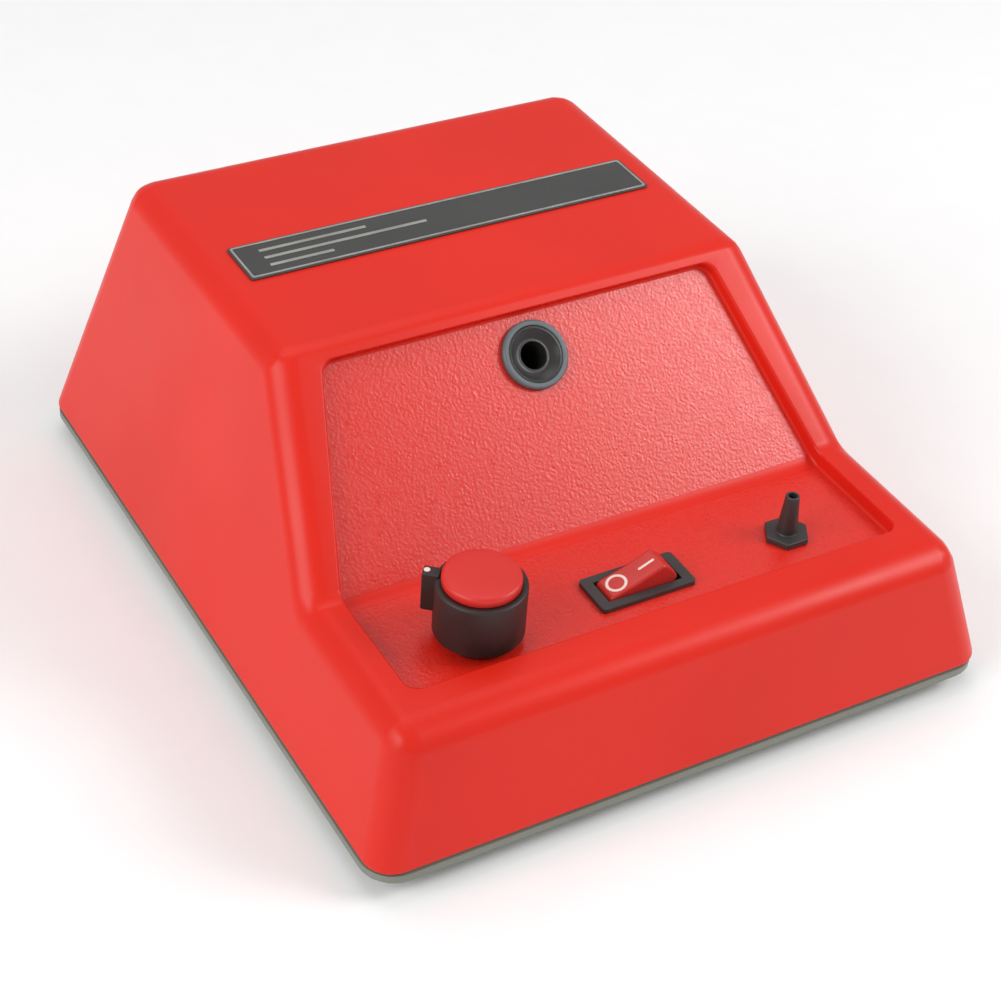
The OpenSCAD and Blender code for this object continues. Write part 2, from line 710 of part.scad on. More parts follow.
rod_x0 = 5.5;
rod_x1 = 10.5;
pump_x = (rod_x0 + rod_x1) / 2;
pump_half = 22;
deck_of_pump_z = axis_z + 27;
bearing_bore_d = 10;
bearing_d = 19;
diaphragm_t = 1.5;
piston_d = 18;
plate_low_z = deck_of_pump_z + diaphragm_t;
valve_plate_t = 5;
gasket_z = plate_low_z + valve_plate_t;
gasket_t = 0.6;
head_z = gasket_z + gasket_t;
head_t = 10.5;
head_top_z = head_z + head_t;
head_screw_d = 4;
port_offset = 8;
head_screw_places = [for (x = [-17.5, 17.5], y = [-17.5, 17.5]) [x, y]];
housing_screw_places = [for (x = [-6, 22], y = [-26, 26]) [pump_x + x - 8, motor_y + y]];

module at_pump() {
    translate([pump_x, motor_y, 0]) children();
}
module pump_outline() {
    polygon(rounded(oblong(pump_half, pump_half), 4));
}
module pump_housing() {
    flange_t = 3;
    side_t = 3;
    color([0.66, 0.67, 0.68]) difference() {
        union() {
            at_pump() translate([0, 0, deck_of_pump_z - 5]) linear_extrude(5) pump_outline();
            for (s = [-1, 1]) at_pump()
                box([wall_x - pump_x, s < 0 ? -pump_half : pump_half - side_t, plate_z],
                    [pump_half, s < 0 ? -pump_half + side_t : pump_half, deck_of_pump_z - 4]);
            box([wall_x, motor_y - pump_half, plate_z], [wall_x + wall_t, motor_y + pump_half, deck_of_pump_z - 4]);
            at_pump() box([wall_x - pump_x, -pump_half - 8, plate_z], [pump_half, pump_half + 8, plate_z + flange_t]);
            on_axis() for (p = motor_screw_places) translate([0, p.x, p.y]) x_cylinder(4, stator_x1, wall_x + 1);
            on_axis() x_cylinder(8.5, wall_x - 3, wall_x + 1);
        }
        on_axis() x_cylinder(6, wall_x - 4, wall_x + wall_t + 1);
        on_axis() for (p = motor_screw_places)
            translate([0, p.x, p.y]) x_cylinder(motor_screw_d / 2, stator_x1 - 1, wall_x + 2);
        at_pump() translate([0, 0, deck_of_pump_z - 10]) cylinder(d = cylinder_d, h = cut / 2);
        at_pump() for (p = head_screw_places)
            translate([p.x, p.y, deck_of_pump_z - 10]) cylinder(d = head_screw_d, h = cut / 2);
        for (p = housing_screw_places)
            translate([p.x, p.y, plate_z - 1]) cylinder(d = mount_screw_d + 0.4, h = flange_t + 2);
    }
}
module eccentric() {
    color([0.7, 0.7, 0.72]) on_axis() difference() {
        union() {
            x_cylinder(8, -5, 4.8);
            translate([0, 0, throw]) x_cylinder(6.2, 4.8, rod_x0);
            translate([0, 0, throw]) x_cylinder(bearing_bore_d / 2, rod_x0, rod_x1);
            intersection() {
                x_cylinder(16.5, -2, 3);
                translate([-cut, -cut, -cut - 4]) cube([2 * cut, 2 * cut, cut]);
            }
        }
        x_cylinder(shaft_d / 2, -cut, shaft_x1);
        translate([0, 0, 4]) translate([-3.5, 0, 0]) cylinder(d = 3, h = cut);
    }
}
module eccentric_screw() {
    color([0.2, 0.2, 0.2]) on_axis() translate([-3.5, 0, 4]) cylinder(d = 2.9, h = 3.6);
}
module crank_bearing() {
    groove_d = 2.2;
    color("silver") on_axis() translate([0, 0, throw]) difference() {
        x_cylinder(bearing_d / 2, rod_x0, rod_x1);
        x_cylinder(bearing_bore_d / 2, rod_x0 - 1, rod_x1 + 1);
        for (x = [rod_x0 - 1, rod_x1 - 0.3]) difference() {
            x_cylinder((bearing_bore_d + bearing_d) / 4 + groove_d / 2, x, x + 1.3);
            x_cylinder((bearing_bore_d + bearing_d) / 4 - groove_d / 2, x - 1, x + 2);
        }
    }
}
module connecting_rod() {
    color([0.3, 0.32, 0.34]) on_axis() translate([0, 0, throw]) difference() {
        union() {
            x_cylinder(bearing_d / 2 + 2.6, rod_x0, rod_x1);
            translate([rod_x0 + 0.4, -3.5, 0]) cube([rod_x1 - rod_x0 - 0.8, 7, deck_of_pump_z - axis_z - throw]);
            translate([pump_x, 0, deck_of_pump_z - axis_z - throw - 2.5]) cylinder(d = piston_d, h = 2.5 + diaphragm_t);
        }
        x_cylinder(bearing_d / 2 + fit, rod_x0 - 1, rod_x1 + 1);
        translate([pump_x, 0, 14]) cylinder(d = 2.5, h = cut);
    }
}
module diaphragm() {
    color([0.12, 0.12, 0.12]) at_pump() translate([0, 0, deck_of_pump_z]) difference() {
        cylinder(d = 2 * pump_half - 1, h = diaphragm_t);
        translate([0, 0, -1]) cylinder(d = piston_d + 2 * throw + 1, h = diaphragm_t + 2);
        for (p = head_screw_places) translate([p.x, p.y, -1]) cylinder(d = head_screw_d + 1.6, h = cut);
    }
}
module diaphragm_retainer() {
    color([0.7, 0.7, 0.72]) at_pump() translate([0, 0, plate_low_z]) difference() {
        cylinder(d = piston_d, h = 1.2);
        translate([0, 0, -1]) cylinder(d = 2.6, h = 4);
    }
}
module retainer_screw() {
    color("silver") at_pump() translate([0, 0, plate_low_z + 1.2]) rotate([180, 0, 0])
        screw(d = 2.4, l = 9, head_d = 5, head_h = 0.9);
}
module valve_plate() {
    chamber_h = 2.6;
    color([0.66, 0.67, 0.68]) at_pump() translate([0, 0, plate_low_z]) difference() {
        linear_extrude(valve_plate_t) pump_outline();
        translate([0, 0, -1]) cylinder(d = cylinder_d - 4, h = chamber_h + 1);
        for (s = [-1, 1]) translate([s * port_offset, 0, 0]) cylinder(d = 3, h = cut);
        for (p = head_screw_places) translate([p.x, p.y, -1]) cylinder(d = head_screw_d + 0.2, h = cut);
    }
}
chamber_half = 6;
module gasket_windows() {
    for (s = [-1, 1]) translate([s * port_offset, 0]) polygon(rounded(oblong(chamber_half, 12), 3));
}
module head_gasket() {
    color([0.2, 0.25, 0.2]) at_pump() translate([0, 0, gasket_z]) linear_extrude(gasket_t) difference() {
        pump_outline();
        gasket_windows();
        for (p = head_screw_places) translate([p.x, p.y]) circle(d = head_screw_d + 0.4);
    }
}
module reed_valves() {
    color([0.65, 0.66, 0.68]) at_pump() for (s = [-1, 1]) translate([s * port_offset, 0, gasket_z])
        linear_extrude(0.3) {
            circle(d = 6);
            translate([-1.6, 0]) square([3.2, 9]);
        }
}
port_z = head_z + 5.5;
module pump_head() {
    color([0.66, 0.67, 0.68]) at_pump() difference() {
        union() {
            translate([0, 0, head_z]) linear_extrude(head_t) pump_outline();
            translate([port_offset, 0, port_z]) y_cylinder(2.6, -pump_half - 10, 0);
        }
        translate([0, 0, head_z - 1]) linear_extrude(8) gasket_windows();
        translate([port_offset, 0, port_z]) y_cylinder(1.2, -pump_half - cut, 0);
        translate([-port_offset, 0, port_z]) y_cylinder(3, 0, pump_half + 1);
        for (p = head_screw_places) translate([p.x, p.y, 0]) cylinder(d = head_screw_d + 0.2, h = cut * 3);
        for (y = [-9:6:9]) translate([-pump_half - 1, y - 1, head_top_z - 2]) cube([2 * pump_half + 2, 2, 3]);
    }
}
module head_screws() {
    color("silver") at_pump() for (p = head_screw_places) translate([p.x, p.y, head_top_z]) rotate([180, 0, 0])
        screw(d = head_screw_d, l = head_top_z - deck_of_pump_z + 4.5, head_d = 7, head_h = 2.6);
}
module intake_filter() {
    color([0.88, 0.86, 0.8]) at_pump() translate([-port_offset, 0, port_z]) difference() {
        union() {
            y_cylinder(2.9, pump_half - 5, pump_half);
            y_cylinder(4.8, pump_half, pump_half + 12);
        }
        y_cylinder(1.4, 0, pump_half + 9);
    }
}

// ---- Chassis ----

module motor_chassis() {
    lip = 4;
    color([0.75, 0.76, 0.77]) difference() {
        union() {
            box([-58, 6, chassis_z], [46, 98, plate_z]);
            for (y = [6, 98 - 1.5]) box([-58, y, chassis_z], [46, y + 1.5, plate_z + lip]);
        }
        for (p = mount_places) translate([p.x, p.y, 0]) cylinder(d = mount_screw_d + 0.4, h = cut);
        for (p = housing_screw_places) translate([p.x, p.y, 0]) cylinder(d = mount_screw_d, h = cut);
    }
}
module rubber_mounts() {
    color([0.1, 0.1, 0.1]) for (p = mount_places) translate([p.x, p.y, pan_top_z]) difference() {
        cylinder(d = 12, h = chassis_z - pan_top_z);
        translate([0, 0, -1]) cylinder(d = mount_screw_d + 0.4, h = cut);
    }
}
module mount_screws() {
    color("silver") for (p = mount_places)
        translate([p.x, p.y, pan_z + 1.9]) screw(d = mount_screw_d, l = 13.5, head_d = 7.4, head_h = 1.7);
}
module mount_nuts() {
    color("silver") for (p = mount_places) translate([p.x, p.y, plate_z]) nut(7, 3, mount_screw_d + 0.1);
}
module housing_screws() {
    color("silver") for (p = housing_screw_places) translate([p.x, p.y, plate_z + 3]) rotate([180, 0, 0])
        screw(d = mount_screw_d, l = 5, head_d = 7, head_h = 2.4);
}

// ---- Hoses, leads and terminal block ----

hose_d = 7.6;
pump_port_x = pump_x + port_offset;
pump_port_y = motor_y - pump_half;
knob_port_y = control_y + regulator_d / 2;
module pressure_hose() {
    color([0.85, 0.86, 0.82]) tube([[pump_port_x, pump_port_y - 1, port_z], [pump_port_x, pump_port_y - 12, port_z],
        [17, -8, 70], [14, -17, 52], [2, -26, 38], [-24, -34, 28], [-42, -40, inlet_z], [knob_x, -50, inlet_z],
        [knob_x, knob_port_y + 1, inlet_z]], hose_d);
}
module outlet_hose() {
    color([0.85, 0.86, 0.82]) translate([0, control_y, outlet_port_z])
        x_cylinder(hose_d / 2 - 0.3, knob_x + regulator_d / 2 + 1, outlet_x - 5);
}
block_low = [-90, 48, pan_top_z];
block_high = [-74.5, 85, pan_top_z + 13];
block_ways = [for (i = [0:3]) block_low.y + 5 + 9 * i];
module terminal_block() {
    color([0.92, 0.92, 0.9]) difference() {
        box(block_low, block_high);
        for (y = block_ways) {
            translate([(block_low.x + block_high.x) / 2, y, block_high.z - 5]) cylinder(d = 4.4, h = cut);
            translate([0, y, block_low.z + 5]) x_cylinder(1.9, block_high.x - 6, block_high.x + 1);
        }
    }
}
module terminal_screws() {
    color([0.8, 0.7, 0.45]) for (y = block_ways)
        translate([(block_low.x + block_high.x) / 2, y, block_high.z - 5]) cylinder(d = 4.2, h = 3.4);
}
lead_z = block_low.z + 5;
lead_d = 2;
lead_start = block_high.x - 4;
module switch_leads() {
    color([0.15, 0.25, 0.6]) for (i = [0, 1])
        tube([[lead_start, block_ways[i], lead_z], [lead_start + 5, block_ways[i], lead_z],
            [-67 + 4 * i, block_ways[i] - 6, 12.6], [-65 + 3 * i, 24, 11.2], [-70 + 3.6 * i, -20, 11.2],
            [-60 + 2 * i, -44 + 4 * i, 12.5], [-34, -54 + 4 * i, 15], [terminal_places[i] - 6, -60, 19],
            [terminal_places[i] - 1, control_y + 7, 23], [terminal_places[i] - 0.2, control_y + 3, 24.5]], lead_d);
}
module motor_leads() {
    color([0.6, 0.3, 0.15]) for (i = [0, 1])
        tube([[lead_start, block_ways[i + 2], lead_z], [lead_start + 5, block_ways[i + 2], lead_z],
            [-64, 78 + 4 * i, 22], [-59, 79 + 4 * i, 36 + 3 * i], [stator_x0 - 8.5, 79 + 4 * i, 38 + 3 * i]], lead_d);
}
module cord_bush() {
    lip_d = 15;
    color([0.1, 0.1, 0.1]) on_back_wall(bush_x, bush_z) difference() {
        union() {
            translate([0, 0, -9]) cylinder(d = bush_d - 0.1, h = 9);
            cylinder(d = lip_d, h = 2);
            translate([0, 0, -5]) cylinder(d = bush_d + 1.6, h = 2.2);
        }
        translate([0, 0, -10]) cylinder(d = 7, h = cut);
    }
}

housing_shell();
base_pan();
base_screws();
rubber_feet();
foot_screws();
nameplate();
nameplate_inlay();
rest_collar();
rest_sleeve();
cord_bush();
switch_body();
switch_rocker();
rocker_marks();
switch_terminals();
knob_body();
knob_cap();
knob_pointer();
regulator_body();
spindle_seal();
regulator_nut();
regulator_spindle();
outlet_spigot();
outlet_washer();
outlet_nut();
pressure_hose();
outlet_hose();
stator_core();
coil_bobbin();
stator_coil();
rotor_core();
motor_shaft();
rear_bracket();
shaft_bushes();
motor_screws();
cooling_fan();
pump_housing();
eccentric();
eccentric_screw();
crank_bearing();
connecting_rod();
diaphragm();
diaphragm_retainer();
retainer_screw();
valve_plate();
head_gasket();
reed_valves();
pump_head();
head_screws();
intake_filter();
motor_chassis();
rubber_mounts();
mount_screws();
mount_nuts();
housing_screws();
terminal_block();
terminal_screws();
switch_leads();
motor_leads();
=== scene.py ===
"""Airbrush compressor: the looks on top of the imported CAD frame.

Lengths are in millimetres, and the mesh tools turn them into metres. The stage is in metres, and so is the
camera's distance.
"""

import json
from math import atan, atan2, cos, degrees, pi, radians, sin, tan

import bmesh
import bpy
from mathutils import Matrix, Vector


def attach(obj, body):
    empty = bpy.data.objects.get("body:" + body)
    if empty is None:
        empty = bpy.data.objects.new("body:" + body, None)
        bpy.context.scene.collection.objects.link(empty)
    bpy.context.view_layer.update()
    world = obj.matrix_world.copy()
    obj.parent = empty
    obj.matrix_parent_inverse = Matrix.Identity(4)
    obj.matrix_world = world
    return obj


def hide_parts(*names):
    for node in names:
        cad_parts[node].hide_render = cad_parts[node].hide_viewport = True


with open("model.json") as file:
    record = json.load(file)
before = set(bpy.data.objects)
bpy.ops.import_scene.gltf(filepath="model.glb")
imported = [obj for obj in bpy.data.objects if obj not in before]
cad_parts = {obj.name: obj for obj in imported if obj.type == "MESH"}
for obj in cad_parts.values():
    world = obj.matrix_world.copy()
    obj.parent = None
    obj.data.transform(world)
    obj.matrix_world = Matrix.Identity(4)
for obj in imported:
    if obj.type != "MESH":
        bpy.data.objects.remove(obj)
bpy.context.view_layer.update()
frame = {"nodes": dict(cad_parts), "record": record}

MM = 0.001

# ---- Driving dimensions of the housing, as the CAD source has them ----

SHELL_W = 198.0
SHELL_D = 234.0
DECK_H = 38.0
TOP_H = 85.4
PANEL_FOOT = 64.0
PANEL_SLOPE = radians(45)
SIDE_DRAFT = radians(15)
FRONT_DRAFT = radians(14)
BACK_DRAFT = radians(13)
EDGE_R = 9.0
WALL = 2.6
DECK_RECESS = 4.5
PANEL_RECESS = 3.5
RECESS_HALF_W = 78.0
RECESS_TOP_HALF_W = 63.0
DECK_FLOOR_L = 40.0
PANEL_FLOOR_L = 65.5
SHELL_Z = 9.2
CONTROL_SET = 25.0
CONTROL_PITCH = 50.0
REST_UP = 52.5
POINTER_ANGLE = radians(139)
ROCKER_TILT = radians(20)
KNOB_HOLE_R = 5.2
OUTLET_HOLE_R = 4.6
SWITCH_HOLE_HALF = (14, 6)
REST_HOLE_IN_SHELL_R = 8.05
BUSH_HOLE_R = 6.05
BUSH_X = -79
BUSH_Z = 26
VENT_COUNT = 7
VENT_PITCH = 7
VENT_W = 3
VENT_L = 26
VENT_X = 12
VENT_Z = 52

DECK_Z = SHELL_Z + DECK_H
TOP_Z = SHELL_Z + TOP_H
FLOOR_Z = DECK_Z - DECK_RECESS
FRONT_EDGE_Y = -SHELL_D / 2
BACK_EDGE_Y = SHELL_D / 2
PANEL_FOOT_Y = FRONT_EDGE_Y + PANEL_FOOT
CREASE_Y = PANEL_FOOT_Y - DECK_RECESS / tan(PANEL_SLOPE) + PANEL_RECESS / sin(PANEL_SLOPE)
CONTROL_Y = CREASE_Y - CONTROL_SET

UP = Vector((0, 0, 1))
PANEL_UP = Vector((0, cos(PANEL_SLOPE), sin(PANEL_SLOPE)))
PANEL_OUT = Vector((0, -sin(PANEL_SLOPE), cos(PANEL_SLOPE)))
PANEL_FRAME = Matrix.Translation((0, CREASE_Y, FLOOR_Z)) @ Matrix.Rotation(PANEL_SLOPE, 4, "X")
REST_FRAME = PANEL_FRAME @ Matrix.Translation((0, REST_UP, 0))
KNOB_FRAME = Matrix.Translation((-CONTROL_PITCH, CONTROL_Y, FLOOR_Z)) @ Matrix.Rotation(POINTER_ANGLE, 4, "Z")
OUTLET_FRAME = Matrix.Translation((CONTROL_PITCH, CONTROL_Y, FLOOR_Z))
SWITCH_FRAME = Matrix.Translation((0, CONTROL_Y, FLOOR_Z))


# ---- Materials ----

class Shader:
    """A procedural material, with its noise taken from object coordinates in metres."""

    def __init__(self, name, color, roughness=0.5, metallic=0.0, specular=0.5):
        self.material = bpy.data.materials.new(name)
        self.material.use_nodes = True
        self.tree = self.material.node_tree
        self.surface = self.tree.nodes["Principled BSDF"]
        self.color = (*color, 1.0)
        self.material.diffuse_color = self.color
        self.surface.inputs["Base Color"].default_value = self.color
        self.surface.inputs["Roughness"].default_value = roughness
        self.surface.inputs["Metallic"].default_value = metallic
        self.surface.inputs["Specular IOR Level"].default_value = specular
        self.place = self.node("ShaderNodeTexCoord").outputs["Object"]
        self.normal = None

    def node(self, kind, **settings):
        made = self.tree.nodes.new(kind)
        for key, value in settings.items():
            setattr(made, key, value)
        return made

    def link(self, output, target):
        self.tree.links.new(output, target)

    def noise(self, size, detail=3.0, stretch=(1, 1, 1), roughness=0.5):
        """Noise whose features are about size millimetres across."""
        mapping = self.node("ShaderNodeMapping")
        mapping.inputs["Scale"].default_value = stretch
        self.link(self.place, mapping.inputs["Vector"])
        made = self.node("ShaderNodeTexNoise")
        made.inputs["Scale"].default_value = 1.0 / (size * MM)
        made.inputs["Detail"].default_value = detail
        made.inputs["Roughness"].default_value = roughness
        self.link(mapping.outputs["Vector"], made.inputs["Vector"])
        return made.outputs["Fac"]

    def cells(self, size, feature="SMOOTH_F1"):
        """Rounded cells about size millimetres across."""
        made = self.node("ShaderNodeTexVoronoi", feature=feature)
        made.inputs["Scale"].default_value = 1.0 / (size * MM)
        self.link(self.place, made.inputs["Vector"])
        return made.outputs["Distance"]

    def ramp(self, source, low, high, start=0.3, end=0.7):
        made = self.node("ShaderNodeMapRange", clamp=True)
        for key, value in (("From Min", start), ("From Max", end), ("To Min", low), ("To Max", high)):
            made.inputs[key].default_value = value
        self.link(source, made.inputs["Value"])
        return made.outputs["Result"]

    def tint(self, source, other, start=0.35, end=0.65):
        """Mixes the base colour with another one where source is high."""
        mix = self.node("ShaderNodeMix", data_type="RGBA")
        self.link(self.ramp(source, 0.0, 1.0, start, end), mix.inputs["Factor"])
        mix.inputs[6].default_value = self.color
        mix.inputs[7].default_value = (*other, 1.0)
        self.link(mix.outputs[2], self.surface.inputs["Base Color"])

    def vary_roughness(self, source, low, high):
        self.link(self.ramp(source, low, high), self.surface.inputs["Roughness"])

    def bump(self, source, height, strength=1.0):
        """Adds a relief of about height millimetres."""
        made = self.node("ShaderNodeBump")
        made.inputs["Strength"].default_value = strength
        made.inputs["Distance"].default_value = height * MM
        self.link(source, made.inputs["Height"])
        if self.normal is not None:
            self.link(self.normal, made.inputs["Normal"])
        self.normal = made.outputs["Normal"]
        self.link(self.normal, self.surface.inputs["Normal"])


def shaded(color, share):
    return tuple(c * share for c in color)


RED = (0.74, 0.018, 0.007)


def red_shell():
    made = Shader("red_shell", RED, roughness=0.36, specular=0.3)
    made.tint(made.noise(60, detail=2), shaded(RED, 0.93))
    made.vary_roughness(made.noise(35, detail=4), 0.31, 0.40)
    made.bump(made.noise(14, detail=2), 0.05)
    made.bump(made.noise(0.7, detail=3), 0.006)
    return made.material


def red_grained():
    """The leather-like grain on the floors of the recess."""
    made = Shader("red_grained", RED, roughness=0.30, specular=0.72)
    grain = made.cells(0.85)
    made.tint(grain, shaded(RED, 0.88), 0.15, 0.75)
    made.vary_roughness(made.noise(3, detail=4), 0.26, 0.36)
    made.bump(grain, 0.09, strength=0.7)
    made.bump(made.noise(0.8, detail=3, roughness=0.6), 0.07, strength=0.7)
    return made.material


def plastic(name, color, roughness, grain=0.5, relief=0.008, drift=0.88, specular=0.5):
    made = Shader(name, color, roughness=roughness, specular=specular)
    made.tint(made.noise(18, detail=3), shaded(color, drift))
    made.vary_roughness(made.noise(6, detail=4), roughness - 0.05, roughness + 0.06)
    made.bump(made.noise(grain, detail=3), relief)
    return made.material


def metal(name, color, roughness, stretch=(1, 1, 1), relief=0.004):
    made = Shader(name, color, roughness=roughness, metallic=1.0)
    made.tint(made.noise(9, detail=4), shaded(color, 0.8))
    scratches = made.noise(0.8, detail=4, stretch=stretch)
    made.vary_roughness(scratches, roughness - 0.07, roughness + 0.09)
    made.bump(scratches, relief)
    return made.material


def laminations():
    """Stacked sheets along X, 0.5 mm each."""
    made = Shader("lamination", (0.20, 0.20, 0.21), roughness=0.45, metallic=0.9)
    bands = made.node("ShaderNodeTexWave", wave_type="BANDS", bands_direction="X", wave_profile="SIN")
    bands.inputs["Scale"].default_value = 2 * pi / (0.5 * MM) / 20
    made.link(made.place, bands.inputs["Vector"])
    made.tint(bands.outputs["Fac"], (0.09, 0.09, 0.10))
    made.bump(bands.outputs["Fac"], 0.05)
    made.bump(made.noise(2, detail=4), 0.02)
    return made.material


def winding():
    """Turns of enamelled wire, 0.35 mm each."""
    made = Shader("copper", (0.60, 0.20, 0.07), roughness=0.30, metallic=0.85)
    bands = made.node("ShaderNodeTexWave", wave_type="BANDS", bands_direction="X", wave_profile="SIN")
    bands.inputs["Scale"].default_value = 2 * pi / (0.35 * MM) / 20
    bands.inputs["Distortion"].default_value = 0.6
    made.link(made.place, bands.inputs["Vector"])
    made.tint(bands.outputs["Fac"], (0.30, 0.08, 0.03))
    made.bump(bands.outputs["Fac"], 0.10)
    return made.material


MATERIALS = {
    "red_shell": red_shell(),
    "red_grained": red_grained(),
    "grey_pan": plastic("grey_pan", (0.21, 0.225, 0.185), 0.48, grain=0.8, relief=0.015, drift=0.93),
    "zinc_steel": metal("zinc_steel", (0.62, 0.63, 0.64), 0.32),
    "black_rubber": plastic("black_rubber", (0.022, 0.022, 0.022), 0.78, grain=0.6, relief=0.03, drift=0.7),
    "plate_dark": plastic("plate_dark", (0.052, 0.050, 0.049), 0.40, grain=0.4, relief=0.006),
    "plate_silver": metal("plate_silver", (0.60, 0.60, 0.56), 0.42, stretch=(0.2, 4, 4)),
    "collar_grey": plastic("collar_grey", (0.118, 0.142, 0.152), 0.42, grain=0.5, relief=0.01, drift=0.85),
    "sleeve_dark": plastic("sleeve_dark", (0.026, 0.023, 0.022), 0.34, grain=0.6, relief=0.01, drift=0.8),
    "black_plastic": plastic("black_plastic", (0.040, 0.038, 0.037), 0.44, relief=0.012, drift=0.8),
    "rocker_red": plastic("rocker_red", (0.55, 0.024, 0.018), 0.28, grain=0.5, relief=0.004, drift=0.9),
    "mark_white": plastic("mark_white", (0.84, 0.68, 0.62), 0.46, grain=0.3, relief=0.004, drift=0.94),
    "knob_dark": plastic("knob_dark", (0.024, 0.015, 0.013), 0.46, grain=0.5, relief=0.014, drift=0.75),
    "cap_red": plastic("cap_red", (0.66, 0.020, 0.014), 0.38, grain=0.6, relief=0.006, drift=0.94),
    "brass": metal("brass", (0.74, 0.53, 0.22), 0.30),
    "hose_milky": plastic("hose_milky", (0.66, 0.67, 0.62), 0.36, grain=1.5, relief=0.02, drift=0.9),
    "lamination": laminations(),
    "copper": winding(),
    "bobbin": plastic("bobbin", (0.60, 0.56, 0.45), 0.48),
    "steel": metal("steel", (0.56, 0.56, 0.57), 0.24),
    "cast_metal": metal("cast_metal", (0.48, 0.49, 0.50), 0.50, relief=0.03),
    "bronze": metal("bronze", (0.52, 0.31, 0.13), 0.42, relief=0.02),
    "fan_white": plastic("fan_white", (0.72, 0.72, 0.68), 0.42),
    "rod_plastic": plastic("rod_plastic", (0.11, 0.11, 0.12), 0.46),
    "gasket": plastic("gasket", (0.15, 0.11, 0.08), 0.82, grain=0.4, relief=0.03, drift=0.75),
    "felt": plastic("felt", (0.56, 0.54, 0.47), 0.95, grain=0.35, relief=0.12, drift=0.75),
    "block_white": plastic("block_white", (0.68, 0.67, 0.62), 0.46),
    "lead_blue": plastic("lead_blue", (0.03, 0.09, 0.35), 0.40),
    "lead_brown": plastic("lead_brown", (0.14, 0.055, 0.025), 0.40),
}


# ---- Mesh tools ----

def face_outwards(data):
    """Merges doubled points and winds the faces alike."""
    tidy = bmesh.new()
    tidy.from_mesh(data)
    bmesh.ops.remove_doubles(tidy, verts=tidy.verts, dist=1e-6)
    bmesh.ops.recalc_face_normals(tidy, faces=tidy.faces)
    tidy.to_mesh(data)
    tidy.free()


def mesh_object(name, verts, faces, materials, place=Matrix.Identity(4)):
    """An object from points in millimetres, which place puts in the row frame."""
    data = bpy.data.meshes.new(name)
    data.from_pydata([(place @ Vector(v)) * MM for v in verts], [], faces)
    data.validate()
    face_outwards(data)
    for material in materials:
        data.materials.append(MATERIALS[material])
    made = bpy.data.objects.new(name, data)
    bpy.context.scene.collection.objects.link(made)
    return made


def bevel(piece, width, segments=3, angle=35, by_weight=False):
    made = piece.modifiers.new("bevel", "BEVEL")
    made.width = width * MM
    made.segments = segments
    made.use_clamp_overlap = False
    made.limit_method = "WEIGHT" if by_weight else "ANGLE"
    made.angle_limit = radians(angle)
    made.miter_outer = "MITER_ARC" if by_weight else "MITER_SHARP"
    made.offset_type = "OFFSET"
    return made


def smooth(piece, weighted=True):
    piece.data.polygons.foreach_set("use_smooth", [True] * len(piece.data.polygons))
    if weighted:
        made = piece.modifiers.new("weighted_normals", "WEIGHTED_NORMAL")
        made.weight = 90
        made.keep_sharp = True


def bake(piece):
    """Turns the modifiers' result into the piece's own mesh."""
    evaluated = piece.evaluated_get(bpy.context.evaluated_depsgraph_get())
    result = bpy.data.meshes.new_from_object(evaluated)
    piece.modifiers.clear()
    piece.data = result


def lathe(name, profile, materials, place, steps=96, radius=None):
    """Turns (radius, height) points about Z. radius(r, z, angle) may reshape a ring."""
    count = len(profile)
    verts = []
    for k in range(steps):
        a = 2 * pi * k / steps
        for r, z in profile:
            at = radius(r, z, a) if radius else r
            verts.append((at * cos(a), at * sin(a), z))
    faces = []
    for k in range(steps):
        here, there = k * count, (k + 1) % steps * count
        for i in range(count - 1):
            faces.append((here + i, there + i, there + i + 1, here + i + 1))
    return mesh_object(name, verts, faces, materials, place)


def arc(centre, r, start, end, steps=6):
    """Points of an arc in the (radius, height) plane, angles in degrees."""
    angles = [radians(start + (end - start) * k / steps) for k in range(steps + 1)]
    return [(centre[0] + r * cos(a), centre[1] + r * sin(a)) for a in angles]


def prism(name, outline, low, high, materials, place):
    """An (x, y) outline raised from low to high."""
    n = len(outline)
    verts = [(x, y, z) for z in (low, high) for x, y in outline]
    faces = [tuple(range(n))[::-1], tuple(range(n, 2 * n))]
    faces += [(i, (i + 1) % n, n + (i + 1) % n, n + i) for i in range(n)]
    return mesh_object(name, verts, faces, materials, place)


def box_outline(half_x, half_y):
    return [(-half_x, -half_y), (half_x, -half_y), (half_x, half_y), (-half_x, half_y)]


def circle_outline(r, steps=64):
    return [(r * cos(2 * pi * k / steps), r * sin(2 * pi * k / steps)) for k in range(steps)]


def cut_out(piece, cutters):
    """Takes the cutters out of the piece, and deletes them."""
    for cutter in cutters:
        made = piece.modifiers.new("cut", "BOOLEAN")
        made.operation = "DIFFERENCE"
        made.solver = "EXACT"
        made.object = cutter
    bake(piece)
    for cutter in cutters:
        bpy.data.objects.remove(cutter)


def seat(piece, body, slot, *nodes):
    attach(piece, body)
    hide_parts(*nodes)


# ---- Housing shell: a cage of flat faces with weighted bevels ----

def side_x(z, d=0.0):
    return SHELL_W / 2 - (z - SHELL_Z) * tan(SIDE_DRAFT) - d / cos(SIDE_DRAFT)


def front_y(z, d=0.0):
    return FRONT_EDGE_Y + (z - SHELL_Z) * tan(FRONT_DRAFT) + d / cos(FRONT_DRAFT)


def back_y(z, d=0.0):
    return BACK_EDGE_Y - (z - SHELL_Z) * tan(BACK_DRAFT) - d / cos(BACK_DRAFT)


def panel_y(z, d=0.0):
    return PANEL_FOOT_Y + (z - DECK_Z) / tan(PANEL_SLOPE) + d / sin(PANEL_SLOPE)


